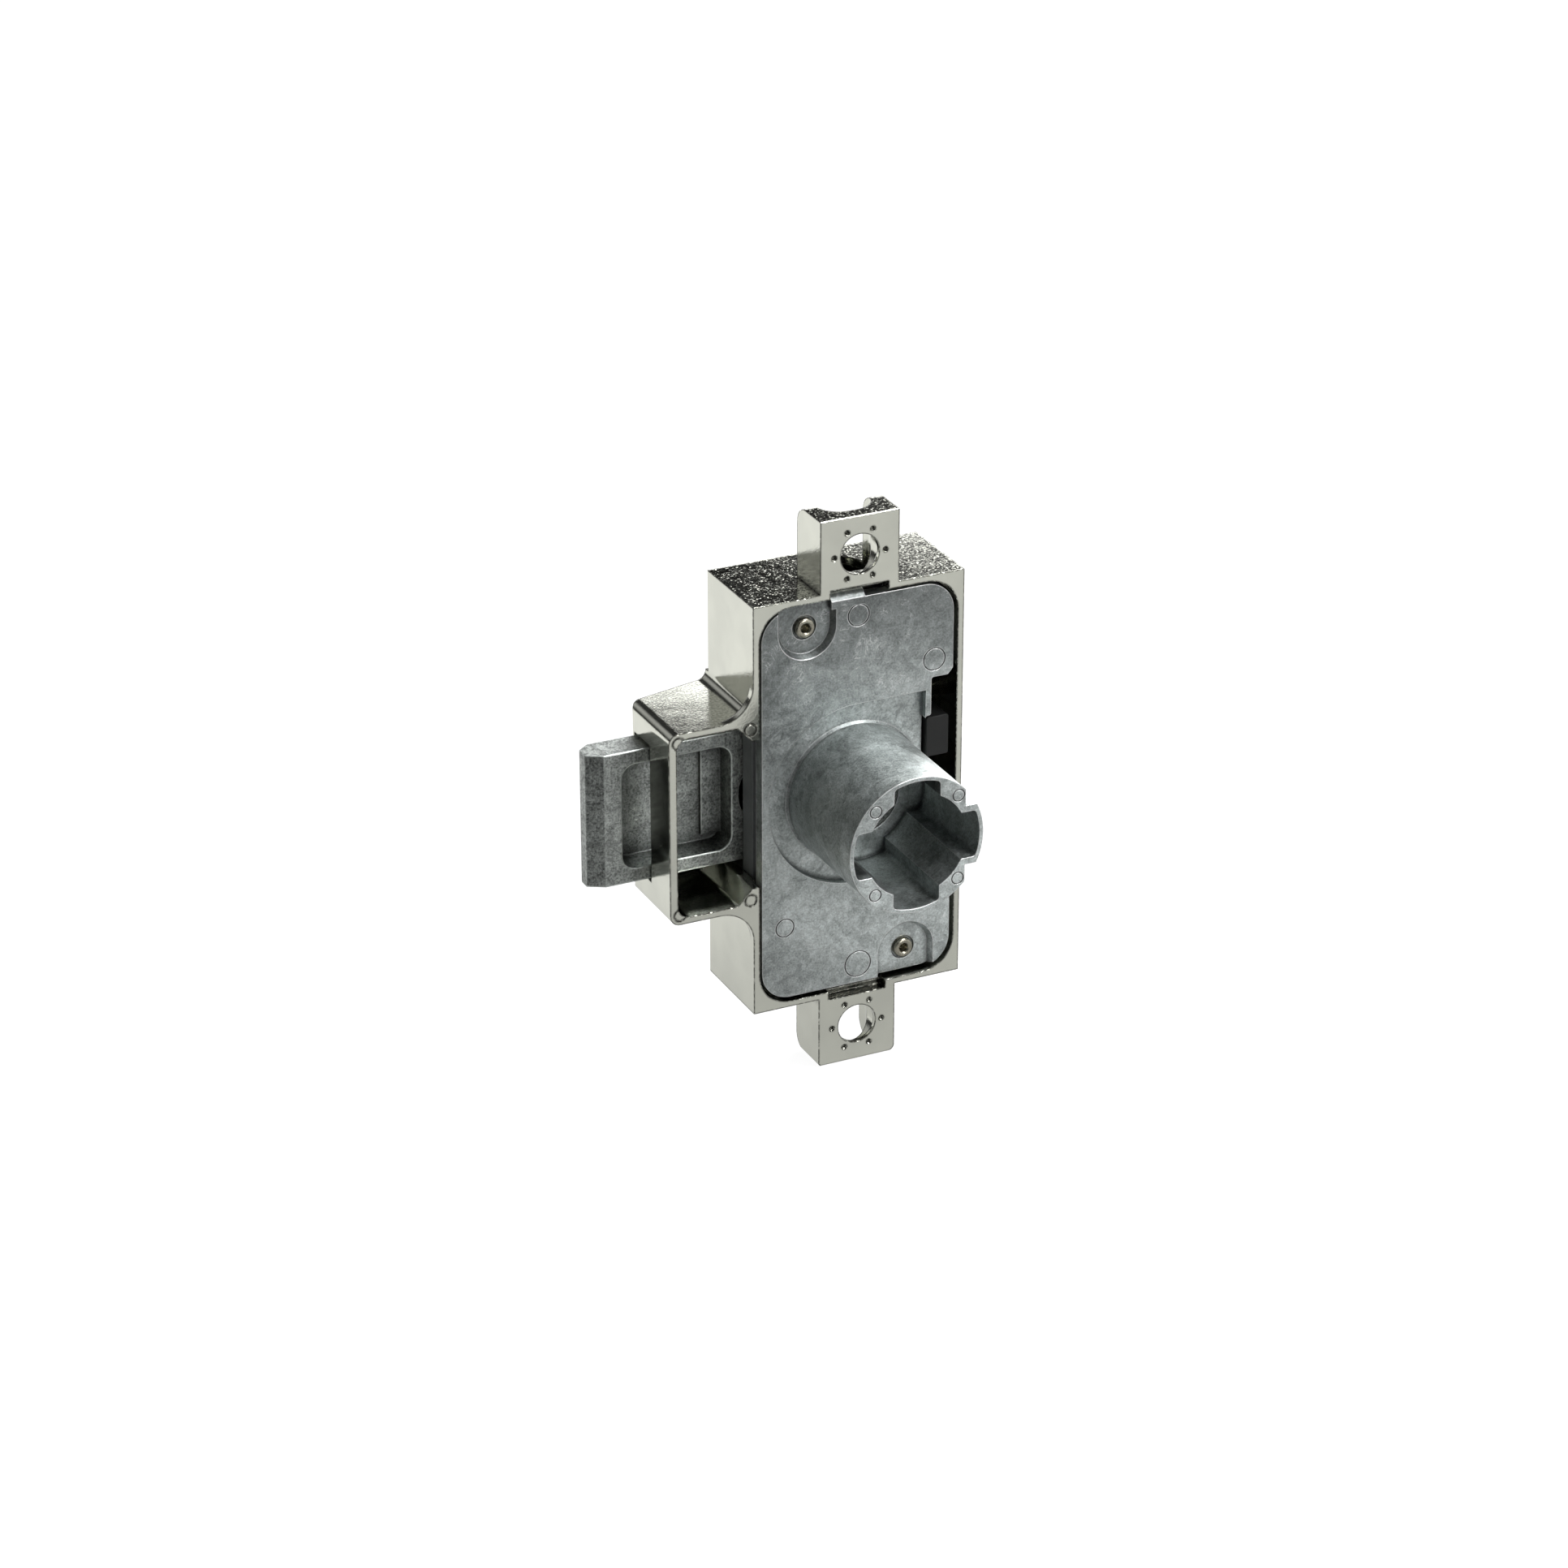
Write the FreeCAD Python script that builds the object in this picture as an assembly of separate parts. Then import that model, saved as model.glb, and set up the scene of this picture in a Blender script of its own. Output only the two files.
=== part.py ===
import FreeCAD, Part
import math
import os

# Espagnolette lock for a cabinet door, seen from the front of the door's inside face.
# Millimetres. X points right, Y points back into the lock, Z points up.
# The origin is on the sleeve's axis, in the plane of the case's front rim and of the fixing lugs.

os.makedirs("parts", exist_ok=True)
V = FreeCAD.Vector

# Case: a die-cast box, open to the front
case_width = 28.5
case_height = 55.0
case_depth = 13.9
case_wall = 1.15
rim_wall = 0.8
back_wall = 1.2
back_edge_round = 1.0
cavity_corner = 3.0

# Bolt housing on the left of the case
backset = 25.5
housing_height = 25.7
housing_depth = 11.3
housing_wall = 1.05
housing_corner = 1.3
housing_web_fillet = 4.5
housing_web_depth = 1.0
housing_root_fillet = 1.2
housing_end_wall = 0.84
housing_inner_corner = 1.6
gateway_height = 20.0
gateway_post = 2.1
gateway_draft = 0.21
gateway_corner = 0.4

# Fixing lugs above and below the case, each a web with two ears
hole_spacing = 64.0
lug_end = 5.0
lug_width = 10.6
lug_depth = 6.5
lug_web = 2.0
lug_ear = 1.75
lug_back_round = 2.2
lug_groove_round = 3.0
lug_front_round = 0.15
lower_lug_corners = (0.4, 0.9)
lug_hole_dia = 5.2
lug_hole_lip = 0.6
lug_counterbore_dia = 6.8
dimple_count = 6
dimple_circle_dia = 6.9
dimple_dia = 0.75
dimple_floor_dia = 0.25
dimple_depth = 0.35
passage_width = 7.9
passage_front = 5.2
passage_back = 10.9
passage_front_round = 0.8
notch_rise = 0.3
notch_front_depth = 1.4
notch_wall = 0.5

# Cover plate with its sleeve
cover_recess = 0.25
cover_thickness = 1.8
cover_gap = 0.45
cover_corner = 3.9
tab_left = -3.65
tab_right = 0.9
tab_rise = 0.75
tab_slope = 0.8
tab_thickness = 1.3
tab_root = 1.0
dish_dia = 24.2
dish_depth = 1.1
sleeve_root_flare = 0.3
sleeve_dia = 18.0
sleeve_reach = 16.0
sleeve_floor = 3.05
bore_dia = 13.5
keyway_width = 6.2
keyway_dia = 17.0
keyway_round = 0.6
keyway_count = 4
keyway_corner_inset = 1.5
flat_offset = 6.55
bulge_width = 7.9
window_left = 9.3
window_step_left = 10.05
window_step_height = 8.6
window_top = 13.7
window_bottom = -6.9
window_chamfer = 0.7
window_edge_chamfer = 0.8
window_bay_margin = 2.0
window_corner = 0.3
window_low_corner = 0.5
pad_left = 9.6
pad_right = 12.4
pad_upper = (15.2, 20.0)
pad_lower = (-19.0, -9.5)
pad_root = 0.2

# Rivets that hold the cover, in two sunk pads on a diagonal
rivet_x = 6.9
rivet_z = 23.2
rivet_dia = 1.8
rivet_head_dia = 2.6
rivet_head_rise = 0.5
rivet_head_sink = 0.35
rivet_head_roll = 0.34
rivet_bore_dia = 1.1
rivet_bore_depth = 1.7
rivet_recess_dia = 3.2
rivet_grip = 5.0
rivet_end_gap = 0.3
rivet_boss_dia = 4.4
sunk_pad_radius = 3.4
sunk_pad_slope = 0.5
sunk_pad_depth = 0.9

# Round marks of the casting tool's ejector pins: x, z and diameter
ejector_depth = 0.12
ejector_groove = 0.16
cover_ejectors = [(0.0, 23.9, 3.0), (10.4, 16.1, 3.1), (0.2, -23.7, 3.7), (-9.9, -16.5, 2.6)]
rim_ejector_dia = 1.7
rim_ejector_inset = 1.3
root_ejector_offset = 0.4
tip_ejector_dia = 1.7

# Drive: one pinion turned by the plug-in core, with a stop disc
tooth_module = 0.45
tooth_count = 12
pressure_angle = 25.0
tooth_backlash = 0.12
root_clearance = 0.11
turn_angle = 180.0
journal_dia = 10.0
rear_journal_dia = 4.0
rear_journal_root = 0.5
socket_length = 7.0
socket_width = 2.4
socket_depth = 2.8
socket_centre_dia = 3.36
seat_dia = 8.4
seat_flats = 7.0
disc_thickness = 0.75
stop_pin_dia = 1.6
stop_pin_circle_dia = 14.8
disc_core_gap = 0.4
disc_sector_lap = 1.0
stop_pin_grip = 1.6
stop_pin_angle = -90.0
stop_play_angle = 1.0
running_gap = 0.05
fit_gap = 0.02

# Rear bearing of the pinion
bush_dia = 5.0
bush_flange_dia = 6.6
bush_flange_thickness = 0.5
bush_floor = 0.8
bush_boss_dia = 8.0
washer_dia = 6.2
washer_thickness = 0.28
washer_dish = 0.2

# Deadbolt: one casting, a head and two arms that pass the pinion
bolt_reach = 33.5
bolt_height = 17.7
bolt_thickness = 4.1
bolt_play = 0.12
bolt_slot_gap = 0.35
bolt_edge_round = 0.2
nose_front_length = 2.1
nose_front_depth = 1.2
nose_back_length = 1.6
nose_back_depth = 1.25
nose_round = 0.5
pocket_left = -29.15
pocket_right = -14.45
pocket_height = 14.1
pocket_depth = 3.0
pocket_corner = 1.9
pocket_draft = 0.45
pocket_step_x = -17.5
pocket_step_rise = 0.5
pocket_step_lap = 0.1
pocket_step_end_lap = 0.5
pocket_step_inset = 1.35
arm_gap = 9.8
arm_root_x = -8.6
arm_end_x = 4.0
rack_lip_front = 0.1
rack_lip_depth = 3.4
rack_margin = 0.3
rack_lap = 0.2
guide_pin_dia = 2.0
guide_pin_x = 1.5
guide_pin_z = -6.9
guide_pin_grip = 1.6
guide_pin_recess = 0.3
pin_end_gap = 0.1
rail_offset = 6.9
rail_width = 1.8
detent_x = -1.0
detent_notch_half = 1.0
detent_notch_depth = 0.7
detent_notch_round = 0.2

# Detent spring under the bolt
detent_strip_thickness = 0.3
detent_strip_width = 2.8
detent_strip_half = 8.5
detent_strip_drop = 2.0
detent_bump_half = 0.8
detent_bump_rise = 1.35
detent_bump_step = 0.1
detent_bump_lap = 0.2
detent_shoulder_drop = 0.75
detent_shoulder_share = 0.333
detent_foot_length = 2.6
detent_post_width = 1.6
detent_post_gap = 0.5
detent_post_height = 1.5

# Rod slides: two flat plates, one on each side of the pinion
slide_thickness = 2.75
slide_play = 0.1
slide_inner = 4.6
slide_short_end = 11.9
slide_foot_height = 5.6
slide_foot_reach = 3.5
slide_corner = 3.3
slide_edge_round = 0.8
slide_end_gap = 0.3
slide_rack_corner = 0.3
slide_rack_inner_corner = 0.2
slide_relief_top = 15.2
slide_relief_gap = 0.4
nub_left = 9.6
nub_right = 12.6
nub_bottom = 2.9
nub_top = 8.2
nub_round = 0.3
nub_sink = 0.25
nub_bridge_reach = 1.5
nub_bridge_lap = 0.8
nub_bridge_inset = 0.4
rod_pin_dia = 2.5
rod_pin_inset = 2.9
rod_pin_reach = 2.5
rod_pin_head_dia = 3.2
rod_pin_head_thickness = 0.5

# Gaps between the layers, front to back
disc_gap = 0.1
slide_front_gap = 0.15
bolt_front_gap = 0.2
bolt_back_gap = 0.1

# How far a cutting shape reaches past the faces it cuts, and the length below which two points are one
past = 1.0
tiny = 1e-6

# Places worked out from the sizes above
half_w = case_width / 2
half_h = case_height / 2
cavity_half_w = half_w - case_wall
cavity_half_h = half_h - case_wall
cavity_back = case_depth - back_wall
seat_half_w = half_w - rim_wall
seat_half_h = half_h - rim_wall
cover_half_w = seat_half_w - cover_gap
cover_half_h = seat_half_h - cover_gap
cover_front = cover_recess
cover_back = cover_front + cover_thickness
disc_front = cover_back + disc_gap
disc_back = disc_front + disc_thickness
slide_front = disc_back + slide_front_gap
slide_back = slide_front + slide_thickness
bolt_front = slide_back + bolt_front_gap
bolt_back = bolt_front + bolt_thickness
rail_front = bolt_back + bolt_back_gap
rack_front = bolt_front + rack_lip_front
rack_back = rack_front + rack_lip_depth - rack_lip_front
sleeve_floor_y = cover_back - sleeve_floor
drive_front = sleeve_floor_y + disc_gap
pitch_radius = tooth_module * tooth_count / 2
tooth_pitch = math.pi * tooth_module
travel = pitch_radius * math.radians(turn_angle)
teeth_front = disc_back + disc_gap / 2
teeth_back = rack_back + disc_gap
flange_front = teeth_back + washer_thickness + washer_dish + 2 * running_gap
rack_root = pitch_radius + tooth_module + root_clearance
rack_first = -int(round(tooth_count * turn_angle / 360.0)) - 1
rack_last = 0
rack_low = rack_first * tooth_pitch - rack_margin
rack_high = (rack_last + 1) * tooth_pitch + rack_margin
slide_low = -cavity_half_h + slide_play + slide_end_gap
housing_left = -backset
housing_inner_left = housing_left + housing_wall
housing_half = housing_height / 2
housing_inner_half = housing_half - housing_end_wall
lug_z = hole_spacing / 2
lug_top = lug_z + lug_end
notch_depth = passage_front + passage_front_round
disc_core_dia = stop_pin_circle_dia - stop_pin_dia - 2 * disc_core_gap
disc_sector_dia = stop_pin_circle_dia + 2 * disc_sector_lap


def box(x0, x1, y0, y1, z0, z1):
    """A block between two corners."""
    return Part.makeBox(x1 - x0, y1 - y0, z1 - z0, V(x0, y0, z0))


def cyl_y(x, z, dia, y0, y1):
    """A round bar along Y."""
    return Part.makeCylinder(dia / 2, y1 - y0, V(x, y0, z), V(0, 1, 0))


def rounded_wire(points, place):
    """A closed outline of straight runs; each point is (u, v, corner radius)."""
    count = len(points)
    starts, ends, arcs = [], [], []
    for i in range(count):
        u, v, radius = points[i]
        here = V(u, v, 0)
        before = V(points[i - 1][0], points[i - 1][1], 0).sub(here)
        after = V(points[(i + 1) % count][0], points[(i + 1) % count][1], 0).sub(here)
        before.normalize()
        after.normalize()
        half_turn = before.getAngle(after) / 2
        if radius <= 0 or abs(half_turn - math.pi / 2) < tiny:
            starts.append(here)
            ends.append(here)
            arcs.append(None)
            continue
        reach = radius / math.tan(half_turn)
        bisector = before.add(after)
        bisector.normalize()
        middle = here.add(bisector.multiply(radius / math.sin(half_turn) - radius))
        starts.append(here.add(V(before).multiply(reach)))
        ends.append(here.add(V(after).multiply(reach)))
        arcs.append(middle)
    edges = []
    for i in range(count):
        if arcs[i] is not None:
            edges.append(Part.Arc(place(starts[i]), place(arcs[i]), place(ends[i])).toShape())
        run_end = starts[(i + 1) % count]
        if ends[i].distanceToPoint(run_end) > tiny:
            edges.append(Part.makeLine(place(ends[i]), place(run_end)))
    return Part.Wire(edges)


def plate_y(points, y0, y1):
    """A flat piece: an outline of (x, z, corner radius), thick along Y."""
    wire = rounded_wire(points, lambda p: V(p.x, y0, p.y))
    return Part.Face(wire).extrude(V(0, y1 - y0, 0))


def plate_z(points, z0, z1):
    """A bar along Z: an outline of (x, y, corner radius)."""
    wire = rounded_wire(points, lambda p: V(p.x, p.y, z0))
    return Part.Face(wire).extrude(V(0, 0, z1 - z0))


def plate_x(points, x0, x1):
    """A bar along X: an outline of (y, z, corner radius)."""
    wire = rounded_wire(points, lambda p: V(x0, p.x, p.y))
    return Part.Face(wire).extrude(V(x1 - x0, 0, 0))


def rect(x0, x1, z0, z1, radius):
    """The outline points of a rectangle with equal corners."""
    return [(x0, z0, radius), (x1, z0, radius), (x1, z1, radius), (x0, z1, radius)]


def tapered_y(front, back, y0, y1):
    """A cut whose outline changes from one at y0 to another at y1."""
    first = rounded_wire(front, lambda p: V(p.x, y0, p.y))
    last = rounded_wire(back, lambda p: V(p.x, y1, p.y))
    return Part.makeLoft([first, last], True, True)


def fuse(shapes):
    """One body from several overlapping ones, with no leftover seams."""
    whole = shapes[0].multiFuse(shapes[1:]) if len(shapes) > 1 else shapes[0]
    return whole.removeSplitter()


def cut(shape, tools):
    """A body less several others."""
    return shape.cut(Part.makeCompound(tools)) if tools else shape


def turned(shape, angle):
    """A copy turned about the sleeve's axis."""
    copy = shape.copy()
    copy.rotate(V(0, 0, 0), V(0, 1, 0), angle)
    return copy


def ejector_mark(x, z, dia, face_y):
    """The round groove that an ejector pin leaves on a face that looks to the front."""
    mark = cyl_y(x, z, dia, face_y - past, face_y + ejector_depth)
    return mark.cut(cyl_y(x, z, dia - 2 * ejector_groove, face_y - past, face_y + ejector_depth))


def save(name, shape):
    """Write one piece and print what it is."""
    solids = shape.Solids
    shape = solids[0] if len(solids) == 1 else Part.makeCompound(solids)
    shape.exportStep("parts/" + name + ".step")
    box_ = shape.BoundBox
    print("%-18s solids %d valid %s volume %8.2f  x %.2f %.2f  y %.2f %.2f  z %.2f %.2f" % (
        name, len(solids), shape.isValid(), shape.Volume,
        box_.XMin, box_.XMax, box_.YMin, box_.YMax, box_.ZMin, box_.ZMax))


# Case

def edges_at_y(shape, y):
    """The edges that lie in the plane of a back face."""
    return [e for e in shape.Edges if abs(e.BoundBox.YMin - y) < tiny and abs(e.BoundBox.YMax - y) < tiny]


def housing_solid():
    """The bolt housing's outer form: a thin front web with wide fillets, before a body whose back slopes."""
    edge_x = -half_w
    inside = edge_x + case_wall

    def slab(fillet, depth):
        reach = housing_half + fillet
        return plate_y([
            (housing_left, -housing_half, housing_corner),
            (edge_x, -housing_half, fillet),
            (edge_x, -reach, 0),
            (inside, -reach, 0),
            (inside, reach, 0),
            (edge_x, reach, 0),
            (edge_x, housing_half, fillet),
            (housing_left, housing_half, housing_corner),
        ], 0, depth)

    plan = [
        (housing_left, 0, 0),
        (inside, 0, 0),
        (inside, case_depth, 0),
        (edge_x, case_depth, 0),
        (housing_left, housing_depth, back_edge_round),
    ]
    body = slab(housing_root_fillet, case_depth).common(plate_z(plan, -half_h, half_h))
    return fuse([body, slab(housing_web_fillet, housing_web_depth)])


def housing_hollow():
    """The room inside the bolt housing, open to the front and into the case."""
    gate = gateway_height / 2
    post_left = -half_w - gateway_post
    outline = [
        (housing_inner_left, -housing_inner_half, housing_inner_corner),
        (post_left, -housing_inner_half, gateway_corner),
        (-half_w - gateway_draft, -gate, gateway_corner),
        (-cavity_half_w + case_wall, -gate, 0),
        (-cavity_half_w + case_wall, gate, 0),
        (-half_w - gateway_draft, gate, gateway_corner),
        (post_left, housing_inner_half, gateway_corner),
        (housing_inner_left, housing_inner_half, housing_inner_corner),
    ]
    slope = (case_depth - housing_depth) / (backset - half_w)
    floor_left = housing_depth - back_wall + slope * housing_wall
    front = -past
    plan = [
        (housing_inner_left, front, 0),
        (-cavity_half_w + case_wall, front, 0),
        (-cavity_half_w + case_wall, cavity_back, 0),
        (-half_w, cavity_back, 0),
        (housing_inner_left, floor_left, 0),
    ]
    return plate_y(outline, front, case_depth).common(plate_z(plan, -housing_half, housing_half))


def lug(side):
    """A fixing lug: side is 1 above the case and -1 below it."""
    root = cavity_half_h
    body = plate_x([
        (0, side * root, 0),
        (lug_depth, side * root, 0),
        (lug_depth, side * lug_top, lug_back_round),
        (0, side * lug_top, lug_front_round),
    ], -lug_width / 2, lug_width / 2)
    inner = lug_width / 2 - lug_ear
    groove = plate_z([
        (-inner, lug_web, lug_groove_round),
        (inner, lug_web, lug_groove_round),
        (inner, lug_depth + past, 0),
        (-inner, lug_depth + past, 0),
    ], min(side * root, side * (lug_top + past)), max(side * root, side * (lug_top + past)))
    hole = cyl_y(0, side * lug_z, lug_hole_dia, -past, lug_web + past)
    counterbore = cyl_y(0, side * lug_z, lug_counterbore_dia, lug_hole_lip, lug_depth)
    dimples = []
    for i in range(dimple_count):
        angle = math.radians(i * 360.0 / dimple_count)
        x = dimple_circle_dia / 2 * math.cos(angle)
        z = side * lug_z + dimple_circle_dia / 2 * math.sin(angle)
        dimples.append(Part.makeCone(dimple_dia / 2, dimple_floor_dia / 2, dimple_depth,
                                     V(x, 0, z), V(0, 1, 0)))
    if side < 0:
        half = lug_width / 2
        left, right = lower_lug_corners
        face = plate_y([(-half, -lug_top, left), (half, -lug_top, right), (half, -root, 0),
                        (-half, -root, 0)], 0, lug_depth)
        body = body.common(face)
    return cut(body, [groove, hole, counterbore] + dimples)


def rod_passage(side):
    """The way for a rod through the case's end wall, and the notch in the rim in front of it."""
    half = passage_width / 2
    near = side * (cavity_half_h - past)
    far = side * (half_h + notch_rise)
    way = plate_z([
        (-half, passage_front, passage_front_round),
        (half, passage_front, passage_front_round),
        (half, passage_back, half),
        (-half, passage_back, half),
    ], min(near, far), max(near, far))
    inside = side * (half_h - notch_wall)
    notch = box(-half, half, -past, notch_front_depth, min(near, far), max(near, far))
    pocket = box(-half, half, -past, notch_depth, min(near, inside), max(near, inside))
    return [way, notch, pocket]


def rail(z):
    """A rib on the case's back wall that the bolt slides on, as long as the case and its housing."""
    left = housing_inner_left - housing_wall / 2
    right = cavity_half_w + case_wall / 2
    inside_wall = back_wall / 2
    plan = [
        (left, rail_front, 0),
        (right, rail_front, 0),
        (right, case_depth - inside_wall, 0),
        (-half_w, case_depth - inside_wall, 0),
        (left, housing_depth - inside_wall, 0),
    ]
    return plate_z(plan, z - rail_width / 2, z + rail_width / 2)


def detent_post(x):
    """A block on the case's back wall that carries one end of the detent spring."""
    top = -bolt_height / 2 - detent_strip_drop - detent_strip_thickness - fit_gap
    return box(x - detent_post_width / 2, x + detent_post_width / 2,
               bolt_front + detent_post_gap, case_depth - back_wall / 2, top - detent_post_height, top)


def make_case():
    main = box(-half_w, half_w, 0, case_depth, -half_h, half_h)
    main = main.makeFillet(back_edge_round, edges_at_y(main, case_depth))
    shell = fuse([main, housing_solid(), lug(1), lug(-1)])
    cavity = plate_y(rect(-cavity_half_w, cavity_half_w, -cavity_half_h, cavity_half_h, cavity_corner),
                     -past, cavity_back)
    seat_corner = cover_corner + cover_gap
    seat = plate_y(rect(-seat_half_w, seat_half_w, -seat_half_h, seat_half_h, seat_corner), -past, cover_back)
    bay = box(0, seat_half_w, cover_back - past, cavity_back, window_bottom - window_bay_margin,
              window_top + window_bay_margin)
    shell = cut(shell, [cavity, seat, bay, housing_hollow()] + rod_passage(1) + rod_passage(-1))
    bosses = [cyl_y(-rivet_x, rivet_z, rivet_boss_dia, cover_back, cavity_back + back_wall / 2),
              cyl_y(rivet_x, -rivet_z, rivet_boss_dia, cover_back, cavity_back + back_wall / 2)]
    hub = cyl_y(0, 0, bush_boss_dia, flange_front + bush_flange_thickness, cavity_back + back_wall / 2)
    posts = [detent_post(detent_x - detent_strip_half + detent_post_width / 2),
             detent_post(detent_x + detent_strip_half - detent_post_width / 2)]
    shell = fuse([shell, rail(rail_offset), rail(-rail_offset), hub] + bosses + posts)
    slot_half = bolt_height / 2 + bolt_slot_gap
    slot = box(housing_left - past, housing_inner_left + housing_wall / 4, bolt_front - bolt_slot_gap,
               rail_front, -slot_half, slot_half)
    holes = [slot]
    for sign in (-1, 1):
        holes.append(cyl_y(sign * rivet_x, -sign * rivet_z, rivet_dia + 2 * fit_gap,
                           cover_back - past, cover_back + rivet_grip))
    holes.append(cyl_y(0, 0, bush_dia + 2 * fit_gap, flange_front, case_depth - bush_floor))
    holes.append(cyl_y(guide_pin_x, guide_pin_z, guide_pin_dia + 2 * fit_gap,
                       rail_front - past, rail_front + guide_pin_grip))
    for side in (-1, 1):
        z = side * (housing_half - rim_ejector_inset)
        for x in (housing_left + rim_ejector_inset, -half_w - root_ejector_offset):
            holes.append(ejector_mark(x, z, rim_ejector_dia, 0))
    return cut(shell, holes)


# Cover with the sleeve

def sunk_pad(sign):
    """The sunk place round a rivet, open to the cover's nearest end."""
    x = -sign * rivet_x
    z = sign * rivet_z
    end = sign * (cover_half_h + past)

    def outline(radius):
        return [(x - radius, z - sign * radius, radius), (x + radius, z - sign * radius, radius),
                (x + radius, end, 0), (x - radius, end, 0)]

    return tapered_y(outline(sunk_pad_radius + sunk_pad_slope), outline(sunk_pad_radius),
                     cover_front, cover_front + sunk_pad_depth)


def sleeve_outer():
    """The sleeve's outside: a round with one flat, bulged where the right keyway passes."""
    y0 = -sleeve_reach
    y1 = cover_back
    radius = sleeve_dia / 2
    body = cyl_y(0, 0, sleeve_dia, y0, y1)
    flat = box(flat_offset, radius + past, y0 - past, cover_front, -radius, radius)
    bulge = plate_y([(0, -bulge_width / 2, 0), (radius + past, -bulge_width / 2, 0),
                     (radius + past, bulge_width / 2, 0), (0, bulge_width / 2, 0)], y0, y1)
    return fuse([body.cut(flat), body.common(bulge)])


def core_bore():
    """The bore for the plug-in core, with its keyways, ending at the sleeve's floor."""
    y0 = -sleeve_reach - past
    bore = cyl_y(0, 0, bore_dia, y0, sleeve_floor_y)
    limit = cyl_y(0, 0, keyway_dia, y0, sleeve_floor_y)
    shapes = [bore]
    half = keyway_width / 2
    for i in range(keyway_count // 2):
        channel = plate_y(rect(-keyway_dia, keyway_dia, -half, half, 0), y0, sleeve_floor_y)
        shapes.append(turned(channel, 90 * i).common(limit))
    keyed = fuse(shapes)
    inside = half ** 2 + (keyway_dia / 2 - keyway_corner_inset) ** 2
    corners = [e for e in keyed.Edges
               if e.BoundBox.YLength > sleeve_reach / 2
               and e.Vertexes[0].Point.x ** 2 + e.Vertexes[0].Point.z ** 2 > inside]
    return keyed.makeFillet(keyway_round, corners)


def window_cut():
    """The stepped cut-out in the cover's right edge."""
    right = cover_half_w
    out = right + past
    return plate_y([
        (out, window_bottom, 0),
        (out, window_top + window_edge_chamfer, 0),
        (right, window_top + window_edge_chamfer, 0),
        (right - window_chamfer, window_top, 0),
        (window_step_left, window_top, window_corner),
        (window_step_left, window_step_height, window_corner),
        (window_left, window_step_height, window_corner),
        (window_left, window_bottom, window_low_corner),
    ], cover_front - past, cover_back + past)


def make_cover():
    plate = plate_y(rect(-cover_half_w, cover_half_w, -cover_half_h, cover_half_h, cover_corner),
                    cover_front, cover_back)
    dish = cyl_y(0, 0, dish_dia, cover_front - past, cover_front + dish_depth)
    shelf = box(0, window_left, cover_front - past, cover_front + dish_depth, 0, dish_dia / 2)
    cuts = [dish, shelf, sunk_pad(1), sunk_pad(-1)]
    for x, z, dia in cover_ejectors:
        cuts.append(ejector_mark(x, z, dia, cover_front))
    plate = cut(plate, cuts)
    tab = plate_x([
        (cover_front, cover_half_h - tab_root, 0),
        (cover_front + tab_thickness, cover_half_h - tab_root, 0),
        (cover_front + tab_thickness, cover_half_h + tab_rise, 0),
        (cover_front + tab_slope, cover_half_h + tab_rise, 0),
        (cover_front, cover_half_h, 0),
    ], tab_left, tab_right)
    pads = []
    for low, high in (pad_upper, pad_lower):
        pads.append(box(pad_left, pad_right, cover_back - pad_root, slide_front - disc_gap, low, high))
        pads.append(box(-pad_right, -pad_left, cover_back - pad_root, slide_front - disc_gap, low, high))
    floor = cover_front + dish_depth
    flare = Part.makeCone(sleeve_dia / 2, sleeve_dia / 2 + sleeve_root_flare, sleeve_root_flare,
                          V(0, floor - sleeve_root_flare, 0), V(0, 1, 0))
    body = fuse([plate, tab, sleeve_outer(), flare] + pads)
    journal_bore = cyl_y(0, 0, journal_dia + 2 * running_gap, -sleeve_reach, cover_back + past)
    pin_hole = cyl_y(0, -stop_pin_circle_dia / 2, stop_pin_dia + 2 * fit_gap,
                     cover_back - stop_pin_grip, cover_back + past)
    tools = [core_bore(), journal_bore, pin_hole, window_cut()]
    seat = cover_front + sunk_pad_depth + rivet_head_sink
    for sign in (-1, 1):
        x = sign * rivet_x
        z = -sign * rivet_z
        tools.append(cyl_y(x, z, rivet_dia + 2 * fit_gap, cover_front - past, cover_back + past))
        tools.append(cyl_y(x, z, rivet_recess_dia, cover_front - past, seat))
    land_radius = (sleeve_dia + bore_dia) / 4
    for i in range(keyway_count):
        angle = math.radians(45 + 90 * i)
        tools.append(ejector_mark(land_radius * math.cos(angle), land_radius * math.sin(angle),
                                  tip_ejector_dia, -sleeve_reach))
    return cut(body, tools)


def make_rivets():
    """Two tubular rivets: the rolled head sits in the sunk pad, the shank in the case's boss."""
    rivets = []
    front = cover_front + sunk_pad_depth - rivet_head_rise
    seat = cover_front + sunk_pad_depth + rivet_head_sink
    bore_end = front + rivet_bore_depth
    shank_end = cover_back + rivet_grip - rivet_end_gap
    for sign in (-1, 1):
        x = sign * rivet_x
        z = -sign * rivet_z
        half_section = rounded_wire([
            (rivet_bore_dia / 2, front, rivet_head_roll),
            (rivet_head_dia / 2, front, rivet_head_roll),
            (rivet_head_dia / 2, seat, 0),
            (rivet_dia / 2, seat, 0),
            (rivet_dia / 2, shank_end, 0),
            (0, shank_end, 0),
            (0, bore_end, 0),
            (rivet_bore_dia / 2, bore_end, 0),
        ], lambda p: V(x + p.x, p.y, z))
        rivets.append(Part.Face(half_section).revolve(V(x, 0, z), V(0, 1, 0), 360))
    return Part.makeCompound(rivets)


# Drive

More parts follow.
